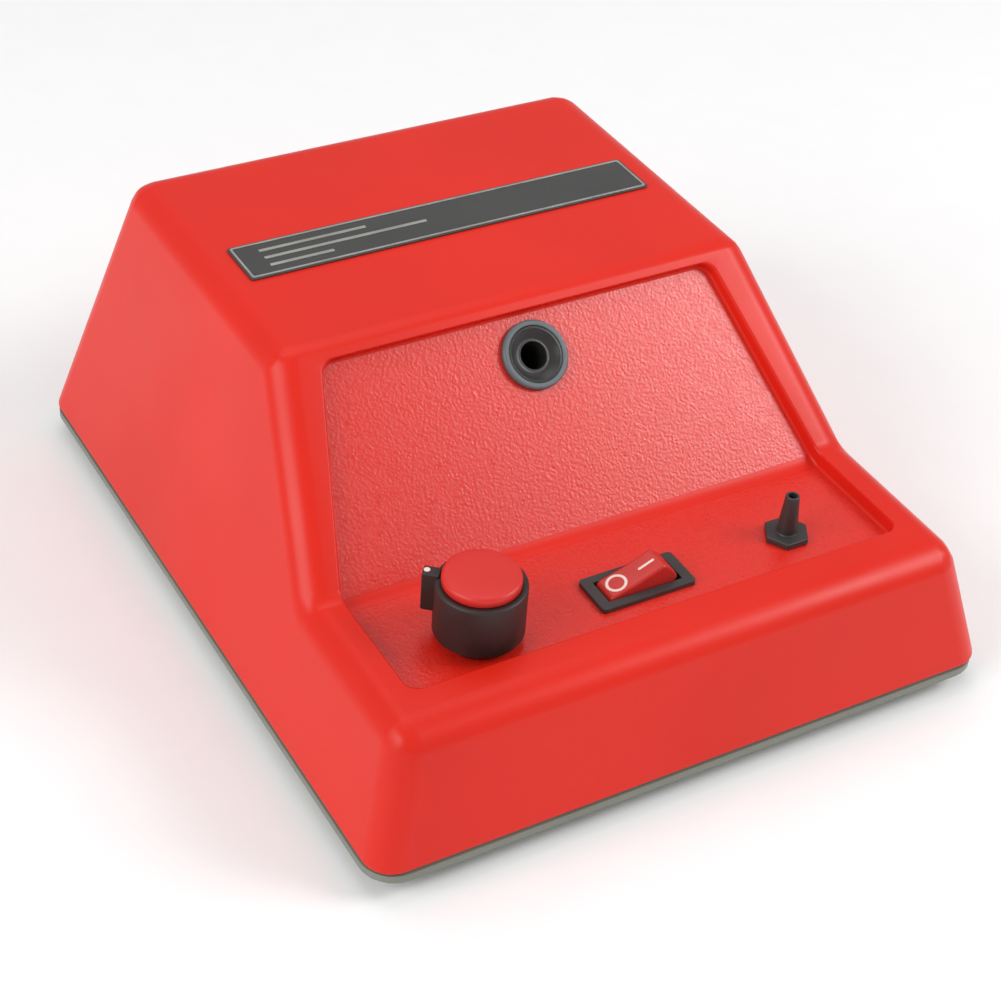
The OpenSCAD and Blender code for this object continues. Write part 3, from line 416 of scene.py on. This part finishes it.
def cage_half(d):
    """Corners of the right half, with every face moved inwards by d: outline, recess rim, recess floor."""
    deck, top = DECK_Z - d, TOP_Z - d
    foot = PANEL_FOOT_Y + d * tan(PANEL_SLOPE / 2)
    outline = [
        (front_y(SHELL_Z, d), SHELL_Z),
        (front_y(deck, d), deck),
        (foot, deck),
        (panel_y(top, d), top),
        (back_y(top, d), top),
        (back_y(SHELL_Z, d), SHELL_Z),
    ]
    outer = [(side_x(z, d), y, z) for y, z in outline]
    floor = FLOOR_Z - d
    crease = CREASE_Y + d * tan(PANEL_SLOPE / 2)
    front = CREASE_Y - DECK_FLOOR_L - d
    half_w, top_half_w = RECESS_HALF_W + d, RECESS_TOP_HALF_W + d
    up = PANEL_FLOOR_L + min(d, 1.4)
    high_floor = Vector((0, CREASE_Y, FLOOR_Z)) + PANEL_UP * up - PANEL_OUT * d
    high_rim = high_floor + PANEL_OUT * PANEL_RECESS
    rim = [(half_w, front, deck), (half_w, foot, deck), (top_half_w, high_rim.y, high_rim.z)]
    low = [(half_w, front, floor), (half_w, crease, floor), (top_half_w, high_floor.y, high_floor.z)]
    return outer + rim + low


OUTER_N = 6
RIM = OUTER_N
LOW = OUTER_N + 3
HALF_N = OUTER_N + 6


def cage_faces():
    """Faces of one skin. Corner i of the right half has its mirror at i + HALF_N."""
    def m(i):
        return i + HALF_N

    right = [
        (0, 1, 2, 3, 4, 5),
        (1, RIM, RIM + 1, 2),
        (2, RIM + 1, RIM + 2, 3),
        (RIM, LOW, LOW + 1, RIM + 1),
        (RIM + 1, LOW + 1, LOW + 2, RIM + 2),
    ]
    across = [(0, 1), (1, RIM), (RIM, LOW), (LOW, LOW + 1), (LOW + 1, LOW + 2)]
    across += [(LOW + 2, RIM + 2), (RIM + 2, 3), (3, 4), (4, 5)]
    faces = right + [tuple(m(i) for i in face[::-1]) for face in right]
    faces += [(a, b, m(b), m(a)) for a, b in across]
    return faces


# Bevel offsets of the outer skin's edges, by their corners on the right half.
# An edge across joins a corner to its mirror.
SIDE_EDGES = {(0, 1): 8.3, (1, 2): 6.9, (2, 3): 6.9, (3, 4): 6.9, (4, 5): 8.3}
ACROSS_EDGES = {1: 7.0, 3: 3.7, 4: 7.1, LOW + 1: 1.6}
RECESS_EDGES = {(RIM, LOW): 4.5, (RIM + 2, LOW + 2): 4.0, (2, RIM + 1): 3.0, (RIM + 1, LOW + 1): 2.0}
WIDEST = 10.0


def edge_weights():
    found = {}
    for (a, b), offset in {**SIDE_EDGES, **RECESS_EDGES}.items():
        for shift in (0, HALF_N):
            found[frozenset((a + shift, b + shift))] = offset
    for a, offset in ACROSS_EDGES.items():
        found[frozenset((a, a + HALF_N))] = offset
    return found


def rounded_skin(name, d):
    """One skin of the shell, open below, as a rounded mesh."""
    right = cage_half(d)
    verts = right + [(-x, y, z) for x, y, z in right]
    data = bpy.data.meshes.new(name)
    data.from_pydata([Vector(v) * MM for v in verts], [], cage_faces())
    face_outwards(data)
    weights = edge_weights()
    share = (EDGE_R - d) / EDGE_R
    layer = data.attributes.new("bevel_weight_edge", "FLOAT", "EDGE")
    for edge in data.edges:
        layer.data[edge.index].value = weights.get(frozenset(edge.vertices), 0.0) * share / WIDEST
    made = bpy.data.objects.new(name, data)
    bpy.context.scene.collection.objects.link(made)
    bevel(made, WIDEST, segments=8, by_weight=True)
    bake(made)
    return made


def hole_cutters():
    """Tools for the holes: knob neck, outlet, switch, airbrush rest, vents and the cord bush."""
    deep = 12
    holes = [
        ("cut_knob", circle_outline(KNOB_HOLE_R), KNOB_FRAME),
        ("cut_outlet", circle_outline(OUTLET_HOLE_R), OUTLET_FRAME),
        ("cut_switch", box_outline(*SWITCH_HOLE_HALF), SWITCH_FRAME),
        ("cut_rest", circle_outline(REST_HOLE_IN_SHELL_R), REST_FRAME),
    ]
    for i in range(VENT_COUNT):
        place = wall_frame(VENT_X + VENT_PITCH * i, VENT_Z)
        holes.append((f"cut_vent_{i}", rounded_slot(VENT_W, VENT_L), place))
    holes.append(("cut_bush", circle_outline(BUSH_HOLE_R), wall_frame(BUSH_X, BUSH_Z)))
    return [prism(name, outline, -deep, deep, (), place) for name, outline, place in holes]


def rounded_slot(w, l, r=0.8, steps=4):
    """The outline of a w by l slot with corners of radius r."""
    points = []
    for quarter, (sx, sy) in enumerate(((1, 1), (-1, 1), (-1, -1), (1, -1))):
        for k in range(steps + 1):
            a = (quarter + k / steps) * pi / 2
            points.append((sx * (w / 2 - r) + r * cos(a), sy * (l / 2 - r) + r * sin(a)))
    return points


def wall_frame(x, z):
    """A place on the back wall, with Z outwards."""
    return Matrix.Translation((x, back_y(z), z)) @ Matrix.Rotation(BACK_DRAFT - pi / 2, 4, "X")


def close_below(outer, inner):
    """Joins two open skins into one closed shell through a strip round their lower edges."""
    joined = bmesh.new()
    joined.from_mesh(outer.data)
    flipped = bmesh.new()
    flipped.from_mesh(inner.data)
    bmesh.ops.reverse_faces(flipped, faces=flipped.faces)
    spare = bpy.data.meshes.new("spare")
    flipped.to_mesh(spare)
    flipped.free()
    joined.from_mesh(spare)
    bpy.data.meshes.remove(spare)
    rim = [e for e in joined.edges if e.is_boundary]
    bmesh.ops.bridge_loops(joined, edges=rim)
    bmesh.ops.recalc_face_normals(joined, faces=joined.faces)
    joined.to_mesh(outer.data)
    joined.free()
    bpy.data.objects.remove(inner)


def on_recess_floor(centre, normal):
    """Is a face of the outer skin on the textured floor of the deck or the panel?"""
    p = centre / MM
    if abs(p.x) > RECESS_HALF_W + 0.5:
        return False
    deck = abs(p.z - FLOOR_Z) < 0.05 and normal.z > 0.999
    height = (p - Vector((0, CREASE_Y, FLOOR_Z))).dot(PANEL_OUT)
    panel = abs(height) < 0.05 and normal.dot(PANEL_OUT) > 0.999
    return deck or panel


def make_shell():
    shell = rounded_skin("shell", 0.0)
    close_below(shell, rounded_skin("shell_inside", WALL))
    cut_out(shell, hole_cutters())
    bevel(shell, 0.9, segments=3, angle=48)
    bake(shell)
    shell.data.materials.clear()
    shell.data.materials.append(MATERIALS["red_shell"])
    shell.data.materials.append(MATERIALS["red_grained"])
    for face in shell.data.polygons:
        face.material_index = int(on_recess_floor(face.center, face.normal))
    smooth(shell)
    seat(shell, "housing", "red_shell", "housing_shell")


# ---- Controls ----

KNOB_R = 12.4
KNOB_H = 22.0
CAP_H = 3.0
CAP_R = 10.7
CAP_LOW = KNOB_H - CAP_H
KNOB_LOW = 0.8
SKIRT_H = 2.4
SKIRT_R = KNOB_R - 1.2
NOTCHES = 8
WING_TIP = 15.7
WING_W = 3.8
WING_LOW = 7.5
WING_TOP = CAP_LOW + 0.8
WING_ROOT = 10.9
SOCKET_R = 9.0
SOCKET_TOP = 6.0
SHAFT_HOLE_R = 2.6
DOT_R = 0.9
DOT_H = 0.3
NOTCH_DEPTH = 1.0
NOTCHED_FROM_R = 9.5


def notched(r, z, a):
    """Shallow notches round the knob's skirt, which leave its socket round."""
    if z > KNOB_LOW + SKIRT_H + 0.3 or r < NOTCHED_FROM_R:
        return r
    return r - NOTCH_DEPTH * max(0.0, -cos(NOTCHES * a)) ** 3


def make_knob():
    """The pressure knob: a notched grip with a pointer wing, its cap and its white dot."""
    skirt_top = KNOB_LOW + SKIRT_H
    profile = [(SOCKET_R, KNOB_LOW), (SKIRT_R - 1.3, KNOB_LOW), (SKIRT_R - 0.9, KNOB_LOW + 0.3)]
    profile += [(SKIRT_R - 0.2, skirt_top - 0.3), (SKIRT_R, skirt_top)]
    profile += arc((KNOB_R - 0.4, skirt_top + 0.4), 0.4, -90, 0, 4)
    profile += arc((KNOB_R - 0.7, CAP_LOW - 0.7), 0.7, 0, 90, 6)
    profile += [(CAP_R + 0.05, CAP_LOW), (CAP_R - 0.5, CAP_LOW - 0.4), (SHAFT_HOLE_R, CAP_LOW - 0.4)]
    profile += [(SHAFT_HOLE_R, SOCKET_TOP), (SOCKET_R, SOCKET_TOP), (SOCKET_R, KNOB_LOW)]
    body = lathe("knob_grip", profile, ("knob_dark",), KNOB_FRAME, radius=notched)
    smooth(body)
    seat(body, "knob", "knob_dark", "knob_body")

    half_w = WING_W / 2
    wing_outline = [(WING_ROOT, -half_w), (WING_TIP, -half_w), (WING_TIP, half_w), (WING_ROOT, half_w)]
    wing = prism("knob_wing", wing_outline, WING_LOW, WING_TOP, ("knob_dark",), KNOB_FRAME)
    bevel(wing, 0.45)
    smooth(wing)
    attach(wing, "knob")

    cap_profile = [(0.0, CAP_LOW - 0.3), (CAP_R - 0.6, CAP_LOW - 0.3), (CAP_R - 0.05, CAP_LOW + 0.2)]
    cap_profile += arc((CAP_R - 1.15, KNOB_H - 1.25), 1.1, 0, 80, 8)
    cap_profile += [(CAP_R - 2.4, KNOB_H - 0.06), (CAP_R * 0.6, KNOB_H - 0.02), (0.0, KNOB_H)]
    cap = lathe("knob_lid", cap_profile, ("cap_red",), KNOB_FRAME)
    smooth(cap)
    seat(cap, "knob", "cap_red", "knob_cap")

    dot_profile = [(0.0, 0.0), (DOT_R, 0.0), (0.85, 0.15), (0.6, 0.27), (0.0, DOT_H)]
    dot_at = KNOB_FRAME @ Matrix.Translation((WING_TIP - DOT_R - 0.2, 0, WING_TOP))
    dot = lathe("knob_dot", dot_profile, ("mark_white",), dot_at, 32)
    smooth(dot)
    seat(dot, "knob", "mark_white", "knob_pointer")


FLANGE_H = 2.0
FLANGE_FLATS = 11.8
SPIGOT_H = 12.6
SPIGOT_R = 2.8
SPIGOT_TIP_R = 2.0
SPIGOT_LAND = 3.0
SPIGOT_BORE_R = 1.3
BARREL_R = 4.0
ELBOW_R = 2.6
ELBOW_L = 13.0
ELBOW_Z = -27.7


def make_outlet():
    """The hose outlet: a hexagon flange with a tapered spigot above it, and its elbow inside the shell."""
    top = FLANGE_H + SPIGOT_H
    profile = [(0.0, ELBOW_Z - BARREL_R), (BARREL_R, ELBOW_Z - BARREL_R), (BARREL_R, 0.2)]
    profile += [(SPIGOT_R + 0.35, FLANGE_H - 0.2), (SPIGOT_R + 0.35, FLANGE_H)]
    profile += [(SPIGOT_R + 0.1, FLANGE_H + 0.12), (SPIGOT_R, FLANGE_H + 0.35)]
    profile += [(SPIGOT_R, FLANGE_H + SPIGOT_LAND)]
    profile += arc((SPIGOT_TIP_R - 0.3, top - 0.3), 0.3, 0, 90, 4)
    profile += arc((SPIGOT_BORE_R + 0.2, top - 0.2), 0.2, 90, 180, 3)
    profile += [(SPIGOT_BORE_R, ELBOW_Z), (0.0, ELBOW_Z)]
    spigot = lathe("spigot", profile, ("black_plastic",), OUTLET_FRAME, 64)
    corner_r = FLANGE_FLATS / 2 / cos(pi / 6)
    hexagon = circle_outline(corner_r, 6)
    flange = prism("spigot_flange", hexagon, 0.0, FLANGE_H, ("black_plastic",), OUTLET_FRAME)
    bevel(flange, 0.35)
    along_x = OUTLET_FRAME @ Matrix.Translation((-ELBOW_L, 0, ELBOW_Z)) @ Matrix.Rotation(pi / 2, 4, "Y")
    inner_end = ELBOW_L - SPIGOT_R
    pipe = [(SPIGOT_BORE_R, 0.0), (ELBOW_R - 0.3, 0.0), (ELBOW_R, 0.3), (ELBOW_R, inner_end)]
    pipe += [(SPIGOT_BORE_R, inner_end), (SPIGOT_BORE_R, 0.0)]
    elbow = lathe("spigot_elbow", pipe, ("black_plastic",), along_x, 48)
    for piece in (spigot, flange, elbow):
        smooth(piece)
        seat(piece, "housing", "black_plastic", "outlet_spigot")


PIVOT_Z = -2.0
ROCKER_W = 8.2
ROCKER_VALLEY_Z = 7.0
ROCKER_CORNER = (8.6, 7.4)
ROCKER_KEEL = (3.0, -4.4)
ROCKER_FRAME = SWITCH_FRAME @ Matrix.Translation((0, 0, PIVOT_Z)) @ Matrix.Rotation(-ROCKER_TILT, 4, "Y")
ALONG_Y = Matrix.Rotation(pi / 2, 4, "X")
MARK_SET = 4.9
MARK_DEPTH = 0.3
RING_R = 3.1
RING_LINE = 0.85
LINE_L = 5.2
LINE_W = 0.8


def facet_frame(side):
    """The middle of a mark on one of the rocker's two facets, at the floor of its groove."""
    slope = atan((ROCKER_CORNER[1] - ROCKER_VALLEY_Z) / ROCKER_CORNER[0])
    facet = Matrix.Rotation(-side * slope, 4, "Y")
    valley = ROCKER_FRAME @ Matrix.Translation((0, 0, ROCKER_VALLEY_Z)) @ facet
    return valley @ Matrix.Translation((side * MARK_SET, 0, -MARK_DEPTH))


def rocker_marks(prefix, height, materials):
    """The ring for off and the line for on, height above the floors of their grooves."""
    inside = RING_R - RING_LINE
    tube = [(inside, 0.0), (RING_R, 0.0), (RING_R, height), (inside, height), (inside, 0.0)]
    ring = lathe(prefix + "_ring", tube, materials, facet_frame(-1), 64)
    bar = rounded_slot(LINE_L, LINE_W, 0.2)
    line = prism(prefix + "_line", bar, 0.0, height, materials, facet_frame(1))
    return [ring, line]


def make_rocker():
    """The switch's rocker: two facets in a shallow valley, with soft edges and round ends."""
    x, z = ROCKER_CORNER
    reach, first = (x * x + z * z) ** 0.5, degrees(atan2(z, x))
    half = [(0.0, ROCKER_VALLEY_Z)] + arc((0, 0), reach, first, 0, 8) + [ROCKER_KEEL]
    outline = half + [(-px, pz) for px, pz in half[:0:-1]]
    rocker = prism("rocker", outline, -ROCKER_W / 2, ROCKER_W / 2, ("rocker_red",), ROCKER_FRAME @ ALONG_Y)
    bevel(rocker, 0.8, segments=5, angle=40)
    cut_out(rocker, rocker_marks("cut", MARK_DEPTH + 1, ()))
    smooth(rocker)
    axle_profile = [(0.0, -5.2), (1.0, -5.2), (1.2, -5.0), (1.2, 5.0), (1.0, 5.2), (0.0, 5.2)]
    axle = lathe("rocker_axle", axle_profile, ("rocker_red",), ROCKER_FRAME @ ALONG_Y, 32)
    smooth(axle)
    for piece in (rocker, axle):
        seat(piece, "rocker", "rocker_red", "switch_rocker")
    for piece in rocker_marks("mark", MARK_DEPTH, ("mark_white",)):
        bevel(piece, 0.05, segments=2)
        smooth(piece)
        seat(piece, "rocker", "mark_white", "rocker_marks")


REST_R = 10.1
COLLAR_H = 2.0
MOUTH_R = 8.05
MOUTH_Z = 1.6
SLEEVE_R = 8.0
SLEEVE_L = 30.0
REST_HOLE_R = 4.0


def make_rest():
    """The airbrush rest: a rounded collar round a dark funnel with a thin lip at its hole."""
    collar_bore = MOUTH_R + 0.3
    profile = [(collar_bore, 0.0), (REST_R, 0.0)]
    profile += arc((REST_R - 0.7, COLLAR_H - 0.7), 0.7, 0, 90, 6)
    profile += arc((collar_bore + 0.3, COLLAR_H - 0.3), 0.3, 90, 180, 4)
    profile += [(collar_bore, 0.0)]
    collar = lathe("rest_ring", profile, ("collar_grey",), REST_FRAME)
    smooth(collar)
    seat(collar, "housing", "collar_grey", "rest_collar")
    rim = MOUTH_R + 0.25
    funnel = [(SLEEVE_R, -SLEEVE_L), (SLEEVE_R, -0.02), (rim, 0.0)]
    funnel += [(rim, MOUTH_Z - 0.1), (rim - 0.1, MOUTH_Z)]
    funnel += [(MOUTH_R, MOUTH_Z), (MOUTH_R - 0.15, MOUTH_Z - 0.05)]
    for k in range(9):
        share = k / 8
        r = MOUTH_R - 0.2 - (MOUTH_R - REST_HOLE_R - 0.75) * share
        funnel.append((r, MOUTH_Z * (1 - share) ** 1.6 + 0.08))
    funnel += [(REST_HOLE_R + 0.35, 0.16), (REST_HOLE_R + 0.12, 0.1), (REST_HOLE_R, -0.1)]
    funnel += [(REST_HOLE_R, -SLEEVE_L + 0.3), (REST_HOLE_R + 0.3, -SLEEVE_L), (SLEEVE_R, -SLEEVE_L)]
    sleeve = lathe("rest_funnel", funnel, ("sleeve_dark",), REST_FRAME)
    smooth(sleeve)
    seat(sleeve, "housing", "sleeve_dark", "rest_sleeve")


# ---- Fasteners that show from below ----

def cross_screw(name, place, d, length, head_d, head_h):
    """A screw with a domed head below and its shank above z = 0, and a cross recess."""
    r, head_r = d / 2, head_d / 2
    profile = [(0.0, -head_h), (head_r * 0.55, -head_h + 0.03), (head_r * 0.85, -head_h + head_h * 0.22)]
    profile += [(head_r * 0.97, -head_h * 0.5), (head_r, -head_h * 0.3), (head_r, 0.0), (r, 0.0)]
    profile += [(r, length - 0.6), (r * 0.7, length), (0.0, length)]
    made = lathe(name, profile, ("zinc_steel",), place, 48)
    arm, width, depth = head_d * 0.26, head_d * 0.13, head_h * 0.6
    cutters = []
    for i, (half_x, half_y) in enumerate(((arm, width / 2), (width / 2, arm))):
        outline = box_outline(half_x, half_y)
        cutters.append(prism(f"{name}_cut_{i}", outline, -head_h - 1, depth - head_h, (), place))
    cut_out(made, cutters)
    bevel(made, 0.06, segments=2, angle=50)
    smooth(made)
    return made


BOSS_PLACES = [(82 * s, y) for s in (-1, 1) for y in (FRONT_EDGE_Y + 17, BACK_EDGE_Y - 22)]
FOOT_PLACES = [(74 * s, y) for s in (-1, 1) for y in (FRONT_EDGE_Y + 27, BACK_EDGE_Y - 32)]
MOUNT_PLACES = [(x, y) for x in (-50, 38) for y in (14, 90)]
# Node, places and height of the head's upper face, then diameter, length, head diameter and head height
SCREWS = (
    ("base_screws", BOSS_PLACES, 8.0, 2.9, 16.0, 6.0, 1.8),
    ("foot_screws", FOOT_PLACES, 3.0, 2.9, 5.0, 6.4, 1.8),
    ("mount_screws", MOUNT_PLACES, 7.9, 4.0, 13.5, 7.4, 1.7),
)


def make_screws():
    for node, places, z, *sizes in SCREWS:
        for i, (x, y) in enumerate(places):
            screw = cross_screw(f"{node}_{i}", Matrix.Translation((x, y, z)), *sizes)
            seat(screw, "housing", "zinc_steel", node)


# ---- CAD pieces that keep their mesh ----

EDGE_SOFTNESS = {
    "base_pan": 0.4,
    "cord_bush": 0.5,
    "nameplate": 0.15,
    "nameplate_inlay": 0.04,
    "rubber_feet": 0.7,
    "switch_body": 0.35,
}
HIDDEN_SOFTNESS = 0.12


def soften(piece, width):
    """Rounds a CAD piece's edges without a change to its own mesh."""
    weld = piece.modifiers.new("weld", "WELD")
    weld.merge_threshold = 0.002 * MM
    flat = piece.modifiers.new("flat_faces", "DECIMATE")
    flat.decimate_type = "DISSOLVE"
    flat.angle_limit = radians(0.5)
    bevel(piece, width, segments=2).use_clamp_overlap = True
    smooth(piece)


def finish_cad():
    """Gives each CAD node its slot's material and soft edges."""
    for part in frame["record"]["subparts"]:
        name = part["node"]
        piece = frame["nodes"][name]
        piece.data.materials.clear()
        piece.data.materials.append(MATERIALS[part["material_slot"]])
        soften(piece, EDGE_SOFTNESS.get(name, HIDDEN_SOFTNESS))


# ---- Stage, in metres ----

FLOOR_HALF = 3.0


def area_light(name, direction, distance, size, power, color=(1, 1, 1), target=(0, 0, 0.05)):
    data = bpy.data.lights.new(name, "AREA")
    data.shape = "RECTANGLE"
    data.size, data.size_y = size
    data.energy = power
    data.color = color
    light = bpy.data.objects.new(name, data)
    bpy.context.scene.collection.objects.link(light)
    away = Vector(direction).normalized()
    light.location = Vector(target) + away * distance
    light.rotation_mode = "QUATERNION"
    light.rotation_quaternion = away.to_track_quat("Z", "Y")


def make_stage():
    data = bpy.data.meshes.new("floor")
    corners = [(x, y, 0) for x, y in box_outline(FLOOR_HALF, FLOOR_HALF)]
    data.from_pydata(corners, [], [(0, 1, 2, 3)])
    data.materials.append(plastic("floor_paper", (0.95, 0.95, 0.95), 0.85, grain=3, relief=0.02, drift=0.99))
    floor = bpy.data.objects.new("floor", data)
    bpy.context.scene.collection.objects.link(floor)
    world = bpy.data.worlds.new("soft_sky")
    world.use_nodes = True
    world.node_tree.nodes["Background"].inputs["Color"].default_value = (1, 1, 1, 1)
    world.node_tree.nodes["Background"].inputs["Strength"].default_value = 0.48
    bpy.context.scene.world = world
    bpy.context.scene.view_settings.view_transform = "Standard"
    area_light("panel_sheen", (0.68, -0.41, 0.61), 1.3, (0.55, 0.5), 7.5)
    area_light("key_left", (-0.85, -0.12, 0.52), 1.3, (0.9, 0.7), 8.5)
    area_light("top_fill", (0.05, 0.35, 1.0), 1.4, (1.0, 0.8), 3.5)


# The camera of the calibration: aim, angles, distance and lens
CAMERA_AZIMUTH = radians(-32.15)
CAMERA_ELEVATION = radians(38.01)
CAMERA_ROLL = radians(4.52)
CAMERA_TARGET = Vector((-30.5, -52.5, 64.2)) * MM
CAMERA_DISTANCE = 0.5901
CAMERA_LENS = 78.58


def make_camera():
    az, el = CAMERA_AZIMUTH, CAMERA_ELEVATION
    back = Vector((sin(az) * cos(el), -cos(az) * cos(el), sin(el)))
    right = (-back).cross(UP).normalized()
    up = back.cross(right)
    rolled_right = cos(CAMERA_ROLL) * right + sin(CAMERA_ROLL) * up
    rolled_up = -sin(CAMERA_ROLL) * right + cos(CAMERA_ROLL) * up
    data = bpy.data.cameras.new("camera")
    data.sensor_width = 36.0
    data.lens = CAMERA_LENS
    camera = bpy.data.objects.new("camera", data)
    bpy.context.scene.collection.objects.link(camera)
    turn = Matrix((rolled_right, rolled_up, back)).transposed().to_4x4()
    camera.matrix_world = Matrix.Translation(CAMERA_TARGET + back * CAMERA_DISTANCE) @ turn
    bpy.context.scene.camera = camera


make_camera()
make_stage()
finish_cad()
make_shell()
make_knob()
make_outlet()
make_rest()
make_rocker()
make_screws()
